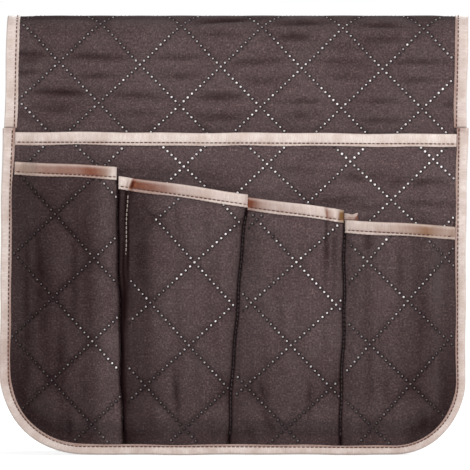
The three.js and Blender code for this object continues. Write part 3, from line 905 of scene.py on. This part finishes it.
pockets = [
    Pocket(0, Quilting((-98.4, along_at(167)), 56.9, 58.8, lean=-0.013, fall=0.06), [
        (-132, 200, 89, 60, 5, 0.45), (-103, 180, 88, 60, 3.5, 0.35), (-112, 178, 90, 34, 2.8, 0.6),
        (-146, 190, 90, 44, 2.2, 0.5), (-122, 246, 88, 26, 3.2, 0.5),
    ], first_shade),
    Pocket(1, Quilting((-27.4, along_at(170)), 58.6, 58.8, lean=-0.059, fall=0.029), [
        (-64, 170, 87, 60, 6, 0.5), (-40, 140, 84, 26, 3, 0.4), (-40, 262, 84, 16, 2.2, 0.9),
    ], second_shade),
    Pocket(2, Quilting((44.5, along_at(169.9)), 60.2, 58.8, lean=-0.058, fall=0.024), [
        (66, 165, 91, 45, 2, 0.6), (72, 160, 92, 40, 1.8, 0.9), (22, 230, 86, 60, 4, 0.4),
        (22, 268, 78, 14, 2.2, 1.0), (54, 268, 95, 12, 2.2, 0.9),
    ], third_shade),
    Pocket(3, Quilting((123.4, along_at(197.3)), 55.4, 58.8, lean=0.038, fall=-0.05), [
        (95, 200, 89, 70, 3.5, 0.55), (96, 157, 84, 10, 4, 0.9), (129, 180, 92, 60, 6, 0.45),
    ], fourth_shade),
]
for pocket in pockets:
    low = (pocket.left(hem_end) - 20, pocket.middle - 12)
    high = (pocket.right(pocket.middle) + 20, hem_end)
    quilted(
        pocket.name, pocket.cloth, pocket.grid, 1.75, pocket.size(), [pocket.name],
        on_front_flap, (low, high, pocket.inside),
    )

# Folded satin tape binds every raw edge, sewn down with one row of stitches near its inner edge. How it
# catches the light is painted on: pale where it lies flat, and warm brown where it turns away.
tape_wall = 0.4
tape_reach = 1.2
hem_reach = 2.3
mouth_tape_reach = 1.0
hem_start = along_at(75)
stitch_line = 7.15
stitch_pitch = 3.1
tape_step = 1.55


def satin_tape():
    """Polyester satin: long floats that shine in a soft streak across the tape, over fine ribs, under painted
    shade and sheen.
    """
    nodes = Nodes("satin_tape")
    strip, painted_satin_shade = nodes.uv("strip"), nodes.value("painted_satin_shade")
    ribs = nodes.noise(nodes.add("Mapping", strip, Scale=(1.0, 0.25, 1.0)), Scale=1100.0, Detail=2.0)
    patches = nodes.noise(strip, Scale=120.0, Detail=3.0)
    mottle = nodes.noise(strip, Scale=600.0, Detail=2.0)
    satin = nodes.mix(nodes.spread(patches, 0.3, 0.7), "#dccac0", "#f0e3dc")
    satin = nodes.mix(nodes.spread(ribs, 0.35, 0.65, 0.0, 0.35), satin, "#c9ada2")
    # Painted shade and sheen where the tape turns away from the light: warm brown, golden where the sheen is
    # painted so, and mottled.
    painted_sheen_and_shade = nodes.mix(nodes.value("gold_sheen"), "#7c4634", "#85693c")
    painted_sheen_and_shade = nodes.mix(nodes.spread(mottle, 0.42, 0.68, 0.0, 0.5), painted_sheen_and_shade, "#8f5a42")
    satin = nodes.mix(painted_satin_shade, satin, painted_sheen_and_shade)
    # Deep painted shadow in the folds, where the painted shade runs past 1.
    satin = nodes.mix(nodes.spread(painted_satin_shade, 1.0, 1.3), satin, "#451a10")
    nodes.finish(Specular_IOR_Level=0.4)
    return nodes.finish(
        Base_Color=satin, Roughness=0.42, Specular_IOR_Level=nodes.spread(painted_satin_shade, 0.0, 1.0, 0.5, 0.05),
        Normal=nodes.add("Bump", Height=ribs, Strength=0.35, Distance=0.0002),
    )


def spun_thread(name, dark, light):
    """Spun polyester thread: two plies twisted together, with a soft shine."""
    nodes = Nodes(name)
    plies = nodes.add("TexWave", nodes.uv("strip"), bands_direction="DIAGONAL", Scale=400.0, output="Fac")
    return nodes.finish(Base_Color=nodes.mix(plies, dark, light), Roughness=0.6)


satin = satin_tape()
brown_thread = spun_thread("brown_thread", "#452820", "#633f35")
pale_thread = spun_thread("pale_thread", "#8d7f77", "#b5a79d")
dark_thread = spun_thread("dark_thread", "#2b2122", "#3d3031")
# One lockstitch is a short round bar of thread with its ends sunk.
lockstitch = small_ball(6, 6, 0.5, (2.6, 0.9, 0.55), turned=math.pi / 2)


def folded_section(low, high, wide=tape_width):
    """Outline of the folded tape, as a way in from the fold and a height: the leg behind, the fold, the
    leg in front with its row of stitches drawn in, and back inside. Low, high and wide may be arrays."""
    shown = np.asarray(wide, float)[..., None] / tape_width
    low, high = np.broadcast_arrays(np.asarray(low, float)[..., None], np.asarray(high, float)[..., None])
    fold = 1.3
    half = (high - low) / 2
    middle, ones = low + half, np.ones_like(low)
    turn, inside_turn = np.radians(np.linspace(-80, 80, 7)), np.radians(np.linspace(75, -75, 6))
    front_n = np.array([1.6, 2.8, 4.0, 5.2, 6.2, 6.9, stitch_line, 7.9, 8.5, tape_width])
    front_t = np.array([0.02, 0.16, 0.22, 0.2, 0.1, -0.06, -0.16, -0.06, 0.08, -0.05])
    back_n = np.array([tape_width, 6.4, 3.6, 1.6])
    n = [
        back_n * ones, fold - fold * np.cos(turn) * ones, front_n * shown * ones,
        front_n[::-2] * shown * ones, fold - (fold - tape_wall) * np.cos(inside_turn) * ones,
        back_n[::-1] * ones,
    ]
    t = [
        low * np.ones(4), middle + half * np.sin(turn), high + front_t, high + front_t[::-2] - tape_wall,
        middle + (half - tape_wall) * np.sin(inside_turn), (low + tape_wall) * np.ones(4),
    ]
    return np.concatenate(n, -1), np.concatenate(t, -1)


def swept(name, at, n, t, along, painted_satin_shades, wide=tape_width, gold_sheen=0.0, lip=0.2):
    """A tape along a path: at turns ways into the cloth at each step of the path into points of it. Lip
    is how much painted shade, or painted light below 0, falls on the narrow lip inside its stitches."""
    waver = 0.1 * np.cos(2 * np.pi * along / stitch_pitch) + 0.22 * np.sin(along / 9.0) * np.sin(along / 23.0)
    drift = 0.4 * np.sin(along / 13.0 + 1.0) * np.sin(along / 31.0)
    share = n * tape_width / (wide + 0 * along)[:, None]
    edge = ramp(share, 6.5, 2)
    u, s = at(n + edge * waver[:, None] + drift[:, None])
    index = np.arange(n.size).reshape(n.shape)
    after = np.roll(index, -1, axis=1)
    quads = np.stack([index[:-1], index[1:], after[1:], after[:-1]], -1).reshape(-1, 4).tolist()
    caps = [index[0].tolist(), index[-1, ::-1].tolist()]
    across = np.broadcast_to(np.arange(n.shape[1]) * 0.8, n.shape)
    strip = np.stack([np.broadcast_to(along[:, None], n.shape), across], -1) / 1000
    # The painted shade wavers along the tape and slants across it.
    painted_satin_shades = painted_satin_shades + 0.06 * np.sin(along / 5.3) * np.sin(along / 17.0 + 2.0)
    slant = 0.35 * (share - tape_width / 2) * np.sin(along / 11.0 + 0.7)[:, None]
    painted_satin_shades = np.interp(along[:, None] + slant, along, painted_satin_shades)
    # A painted highlight along the fold, painted shadow in the groove of the stitches, and painted shade over
    # the lip.
    painted_satin_shades = painted_satin_shades * (1 - 0.45 * bump_at(share, 0.9, 0.8))
    drawn_in = 0.22 * bump_at(share, stitch_line, 0.8)
    lipped = smooth((share - stitch_line + 0.3) / 1.0) * (lip * (1 - painted_satin_shades) if lip > 0 else lip * painted_satin_shades)
    values = {
        "painted_satin_shade": (painted_satin_shades + drawn_in * (1 - painted_satin_shades) + lipped).clip(0, 1.3),
        "gold_sheen": np.broadcast_to((gold_sheen + 0 * along)[:, None], n.shape),
    }
    return new_piece(name, place(u, s, t), quads + caps, {"strip": strip}, satin, values)


def stitch_row(name, at, height, along, thread=brown_thread):
    """Stitches along a path. At gives points of the cloth and height their height, by how far along."""
    places = np.arange(1.2 + stitch_pitch / 2, along - 1.2, stitch_pitch)
    here, ahead = [place(*at(x), height(x)) for x in (places, places + 0.5)]
    way = unit(ahead - here)
    out = unit(place(*at(places), height(places) + 1) - here)
    axes = np.stack([way, np.cross(out, way), out], axis=1)
    points, faces = copies(lockstitch, here, axes, random.normal(1, 0.04, len(places)))
    strip = np.tile(lockstitch[0][:, :2], (len(places), 1)) / 1000
    return new_piece(name, points, faces, {"strip": strip}, thread)


def bind(tape, stitches, nodes, length, follow, extra=()):
    """Hides the parts that a tape and its stitches stand in for, and hands them and any extra pieces to what
    they follow. Length, how the tape was cut, is not used."""
    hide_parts(*[node.format("tape") for node in nodes])
    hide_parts(*[node.format("stitches") for node in nodes])
    for piece in (tape, stitches, *extra):
        follow(piece)


# A tape runs along each pocket's mouth, follows the cloth as it bows out, and goes under the hem's tape.
# Where a pocket's cloth is gathered at a seam its tape folds too.
loose_start = 77.9
loose_length = 9.7
tape_ends = (-155.8, 156.8)


def loose_end(left, right, top):
    """The long end of the third pocket's tape, which shows as a small pointed tail over the fourth."""
    u0 = spaced(left, right, 0.8)
    along = u0 - left
    hollow = 1.1 * bump_at(along, 5.6, 2.4)
    wide = 4.3 - 1.2 * smooth((u0 - right + 1.5) / 1.5) - hollow
    n, t = folded_section(-0.6 + 0 * u0, 0.45 + 0 * u0, wide)

    def at(n):
        return u0[:, None] + 0 * n, top - 0.05 * along[:, None] + hollow[:, None] + n

    # Painted shade along the loose end.
    painted_satin_shades = np.interp(along, (0, 2, 5, 7.5, 8.7, 9.7), (0.55, 0.35, 0.5, 0.25, 0.35, 0.9))
    return swept("pocket_3_loose_end", at, n, t + strip_floor(*at(n)), along, painted_satin_shades, wide)


def mouth_tape(name, cloth, mouth, left, right, painted_satin_shades, gold_sheen=((0, 0), (1, 0)), folds=(), extra=(), lip=0.2):
    """The painted satin shades and golden sheen are stops from left to right. A fold is its place, its width
    and how high it is.
    """
    u0 = spaced(left, right, 0.8 if folds else tape_step)
    along = u0 - left
    n, t = folded_section(np.full(len(u0), -mouth_leg), np.full(len(u0), pressed_cloth + mouth_leg))

    def at(n):
        return u0[:, None] + 0 * n, mouth(u0)[:, None] + n - mouth_tape_reach

    def folded(u):
        return sum((high * bump_at(u, place, wide) for place, wide, high in folds), 0 * u)

    u, s = at(n)
    lifted = t + cloth.floor(u, np.maximum(s, mouth(u))) + np.where(t > 0, folded(u), 0)
    shades, golden = [np.interp(along / along[-1], *zip(*stops)) for stops in (painted_satin_shades, gold_sheen)]
    tape = swept(name + "_satin", at, n, lifted, along, shades, gold_sheen=golden, lip=lip)

    def row(x):
        return left + x, mouth(left + x) + stitch_line - mouth_tape_reach

    def height(x):
        u, s = row(x)
        return cloth.floor(u, s) + pressed_cloth + mouth_leg + folded(u)

    stitches = stitch_row(name + "_thread", row, height, along[-1])
    edge = place(u0, mouth(u0), cloth.floor(u0, mouth(u0)))
    cut_length = 1000 * float(np.linalg.norm(np.diff(edge, axis=0), axis=1).sum())
    if extra:
        cut_length += loose_length
    bind(tape, stitches, [name + "_{}"], cut_length, on_front_flap, extra)


# Painted shade and sheen on the mouth tapes, as stops from left to right: warm brown where a tape turns away
# from the light, pale where it lies flat, and deep brown in a fold's shadow.
mouth_tape("wide_pocket", wide_cloth, wide_mouth, *tape_ends, [(0, 0.12), (0.3, 0.0), (1, 0.0)])
pocket_painted_shades = [
    [
        (0, 0.55), (0.05, 0.6), (0.1, 0.55), (0.14, 0.52), (0.2, 0.68), (0.27, 0.78), (0.36, 0.74),
        (0.5, 0.84), (0.64, 0.88), (0.73, 0.94), (0.785, 0.9), (0.85, 0.8), (0.9, 0.66), (0.95, 0.3),
        (0.96, 0.05), (1, 0.0),
    ],
    [
        (0, 0.15), (0.02, 0.0), (0.06, 0.05), (0.068, 0.6), (0.078, 0.1), (0.088, 0.3), (0.097, 1.25),
        (0.112, 1.2), (0.13, 0.98), (0.2, 0.95), (0.25, 0.9), (0.3, 0.82), (0.37, 0.74), (0.43, 0.54),
        (0.55, 0.34), (0.7, 0.24), (0.9, 0.15), (1, 0.22),
    ],
    [
        (0, 1.15), (0.03, 1.0), (0.08, 0.82), (0.15, 0.52), (0.3, 0.38), (0.46, 0.3), (0.6, 0.24),
        (0.8, 0.14), (0.825, 0.95), (0.845, 0.5), (0.89, 0.3), (0.905, 0.0), (0.935, 0.0), (0.95, 0.8),
        (0.97, 1.05), (1, 1.1),
    ],
    [
        (0, 0.3), (0.03, 0.25), (0.07, 0.08), (0.12, 0.1), (0.2, 0.28), (0.29, 0.36), (0.38, 0.4),
        (0.47, 0.46), (0.56, 0.68), (0.65, 0.74), (0.73, 0.86), (0.82, 0.68), (0.91, 0.62), (1, 0.7),
    ],
]
# Where each pocket's tape has a golden painted sheen, as stops from left to right.
pocket_gold_sheen = [
    [(0, 0.35), (0.12, 0.3), (0.3, 0.05), (0.6, 0.0), (0.8, 0.0), (0.9, 0.3), (1, 0.4)],
    [(0, 0), (1, 0)],
    [(0, 0), (0.93, 0), (0.955, 0.7), (1, 0.8)],
    [(0, 0.1), (0.5, 0.2), (0.7, 0.45), (1, 0.4)],
]
pocket_folds = [
    [],
    [(-74.6, 0.8, 0.9), (-71.5, 1.6, 1.2)],
    [(60.5, 3.2, 0.9), (65.6, 1.0, -0.9), (71.8, 1.6, 1.0), (76.0, 1.4, 0.6)],
    [],
]
for pocket, painted_satin_shades, gold_sheen, folds in zip(pockets, pocket_painted_shades, pocket_gold_sheen, pocket_folds):
    left = tape_ends[0] if pocket.first else pocket.left(pocket.middle)
    right = tape_ends[1] if pocket.last else pocket.right(pocket.middle)
    extra = []
    if pocket.number == 2:
        extra = [loose_end(loose_start, loose_start + loose_length, along_at(135.4))]
    mouth_tape(pocket.name, pocket.cloth, pocket.mouth, left, right, painted_satin_shades, gold_sheen, folds, extra, lip=-0.35)

# The side tapes run over the arm and down to the hem's tape in front. Behind, one tape runs down a side,
# round the hem and up the other.
main_top = under_tape + pressed_cloth + layer_gap + tape_wall


def with_arm(s, t):
    """A height on the main cloth, with its rise over the arm."""
    return t + rise_on_arm * over_arm(s)


rows = spaced(middle_row, hem_start - 0.1, tape_step)
along = rows - rows[0]
n, t = folded_section(with_arm(rows, 0), with_arm(rows, main_top))
# Each side tape has an even painted shade, a little deeper on the right, and painted shade over the lip
# inside its stitches.
for word, side, painted_satin_shade, lip in (("left", -1, 0.1, 0.15), ("right", 1, 0.17, 0.5)):
    def at(n, side=side):
        return side * (half_width + tape_reach - n), rows[:, None] + 0 * n

    def row(x, side=side):
        return side * (half_width + tape_reach - stitch_line) + 0 * x, middle_row + x

    bind(
        swept(f"front_edge_satin_{word}", at, n, t, along, painted_satin_shade + 0 * rows, lip=lip),
        stitch_row(
            f"front_edge_thread_{word}", row, lambda x: with_arm(middle_row + x, main_top), along[-1],
        ),
        [f"top_edge_{{}}_{word}", f"front_edge_{{}}_{word}"], along[-1], bends_in_front,
    )


def hem_path(hem, reach, start, back):
    """Steps down the left side from a start, round the hem and up the right side. Gives a function of
    ways in from the fold, how far along each step is, and its places along and aside."""
    ways = []
    for side, radius in ((-1, hem["left"]), (1, hem["right"])):
        down = spaced(start, hem["end"] - radius, tape_step)[:-1]
        turn = spaced(0, 90, math.degrees(tape_step / radius))
        rows = [(side, radius, 0.0, s) for s in down]
        rows += [(side, radius, math.radians(a), hem["end"] - radius) for a in turn]
        ways.append(rows if side < 0 else rows[::-1])
    bottom = spaced(hem["left"] - half_width, half_width - hem["right"], tape_step)[1:-1]
    rows = [*ways[0], *[(0, 0.0, math.pi / 2, u) for u in bottom], *ways[1]]
    side, radius, turn, value = np.array(rows).T[..., None]

    def at(n):
        out = radius + reach - n
        u = side * (half_width - radius + out * np.cos(turn))
        s = value + out * np.sin(turn)
        flat = side == 0
        return np.where(flat, value, u), back * np.where(flat, hem["end"] + reach - n, s)

    u, s = [x[:, 0] for x in at(np.zeros((len(rows), 1)))]
    return at, np.concatenate([[0], np.cumsum(np.hypot(np.diff(u), np.diff(s)))]), s, u


def hem_tape(name, at, along, low, high, painted_satin_shades, nodes, follow, wide=tape_width):
    n, t = folded_section(low, high, wide + 0 * along)
    tape = swept(name + "_satin", at, n, t, along, painted_satin_shades, wide, lip=0.5)

    def row(x):
        u, s = at((stitch_line * (wide + 0 * along) / tape_width)[:, None])
        return np.interp(x, along, u[:, 0]), np.interp(x, along, s[:, 0])

    stitches = stitch_row(name + "_thread", row, lambda x: np.interp(x, along, high), along[-1])
    bind(tape, stitches, nodes, along[-1], follow)


at, along, s, u = hem_path(back_hem, tape_reach, -middle_row, -1)
# The back hem's tape has an even light painted shade.
hem_tape(
    "back_hem", at, along, with_arm(s, 0), with_arm(s, main_top), 0.06 + 0 * along,
    ["top_edge_{}_left", "top_edge_{}_right", "back_hem_{}"], bends_behind,
)

# The hem's tape in front starts beside the wide pocket's mouth and binds two, then three cloths.
one_more_cloth = pressed_cloth + layer_gap + mouth_leg
at, along, s, u = hem_path(front_hem, hem_reach, hem_start, 1)
strip_mouth = np.where(u < 0, along_at(mouth_drops[0][0]), along_at(mouth_drops[3][1]))
cloths = smooth((s - wide_mouth(0) + 9) / 6) + smooth((s - strip_mouth + 9) / 6)
from_end = np.minimum(along, along[-1] - along)
# Painted shade along the front hem's tape, deeper at its folded ends and in stretches along it.
hem_painted_shades = 0.4 * bump_at(from_end, 1.5, 1.8) + np.interp(
    along, (5, 115, 143, 171, 195, 300, 346, 431, 515, 549, 599, 656),
    (0.07, 0.08, 0.28, 0.28, 0.14, 0.13, 0.06, 0.1, 0.16, 0.2, 0.14, 0.07),
)
shown_width = np.interp(
    along, (0, 20, 44, 120, 230, 269, 380, 470, 558, 600, 675, 738),
    (9.0, 8.4, 7.8, 7.6, 7.9, 7.4, 7.2, 6.6, 6.6, 7.2, 7.8, 8.2),
)
hem_tape(
    "front_hem", at, along, 0 * along, main_top + one_more_cloth * cloths, hem_painted_shades,
    ["front_hem_{}"], on_front_flap, shown_width,
)

# A row of stitches runs down each seam between two pockets.
for k, divider in enumerate(dividers):
    pocket = pockets[k + 1]
    start = along_at(mouth_drops[k + 1][0]) + tape_width + 2

    def row(x):
        s = start + x
        return pocket.seam(s) - seam_margin - 0.2, s

    def height(x):
        u, s = row(x)
        drawn_in = 0.8 * ramp(s, along_at(155), 25) if pocket.tuck else 0
        return pocket.cloth.surface(u, s) + 0.05 - drawn_in

    thread = pale_thread if pocket.tuck else dark_thread
    length = hem_end - tape_width - start
    stitches = stitch_row(f"divider_thread_{k + 1}", row, height, length, thread)
    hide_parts(f"divider_stitches_{k + 1}")
    on_front_flap(stitches)

# A pale floor under the hem, soft studio lamps in front and behind, and a long lens straight in front.
photo_pixels = 470
photo_scale = 0.708
photo_top = 15.0
photo_middle = 233.2
top_of_cloth = 5.0
front_of_cloth = 0.105
camera_distance = 8.0
sensor_width = 36


def white_paper():
    """Matt white paper, which the camera sees as white with the object's soft shadow on it."""
    nodes = Nodes("white_paper")
    seen = nodes.add("LightPath").node.outputs
    direct = nodes.sums("MAXIMUM", seen["Is Camera Ray"], seen["Is Glossy Ray"])
    glow = nodes.add("Emission", (0.72, 0.72, 0.72, 1.0), direct)
    both = nodes.add("AddShader", nodes.shader.outputs[0], glow)
    nodes.feed(nodes.tree.nodes["Material Output"], Surface=both)
    return nodes.finish(Base_Color="#dcdcdc", Roughness=1.0)


bpy.ops.mesh.primitive_plane_add(size=60, location=(0, 0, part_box("front_hem_tape")[0].z - 0.0005))
floor = bpy.context.object
floor.name = "floor"
floor.data.materials.append(white_paper())

studio = Nodes(bpy.data.worlds.new("studio"), "Background")
seen = studio.add("LightPath").node.outputs
direct = studio.sums("MAXIMUM", seen["Is Camera Ray"], seen["Is Transmission Ray"])
studio.finish(Color=(1, 1, 1, 1), Strength=studio.add("MapRange", direct, 0.0, 1.0, 0.45, 1.0))
bpy.context.scene.world = studio.owner

for name, spot, size, power in (
    ("key_lamp", (1.3, -1.7, 1.0), 0.9, 28),
    ("fill_lamp", (-1.6, -1.8, 0.5), 1.4, 14),
    ("back_lamp", (0.4, 2.2, 1.2), 1.4, 26),
):
    bpy.ops.object.light_add(type="AREA", location=spot)
    light = bpy.context.object
    light.name, light.data.size, light.data.energy = name, size, power
    light.visible_camera = False
    x, y, z = np.array([0, 0, -0.15]) - np.array(spot)
    light.rotation_euler = (math.atan2(math.hypot(x, y), -z), 0, math.atan2(y, x) - math.pi / 2)

bpy.ops.object.camera_add(rotation=(math.pi / 2, 0, 0))
camera = bpy.context.object
middle = photo_pixels / 2
camera.location = (
    (middle - photo_middle) * photo_scale / 1000, -camera_distance,
    (top_of_cloth - (middle - photo_top) * photo_scale) / 1000,
)
camera.data.sensor_width = sensor_width
camera.data.lens = sensor_width * (camera_distance - front_of_cloth) / (photo_pixels * photo_scale / 1000)
bpy.context.scene.camera = camera
bpy.context.scene.view_settings.view_transform = "Standard"
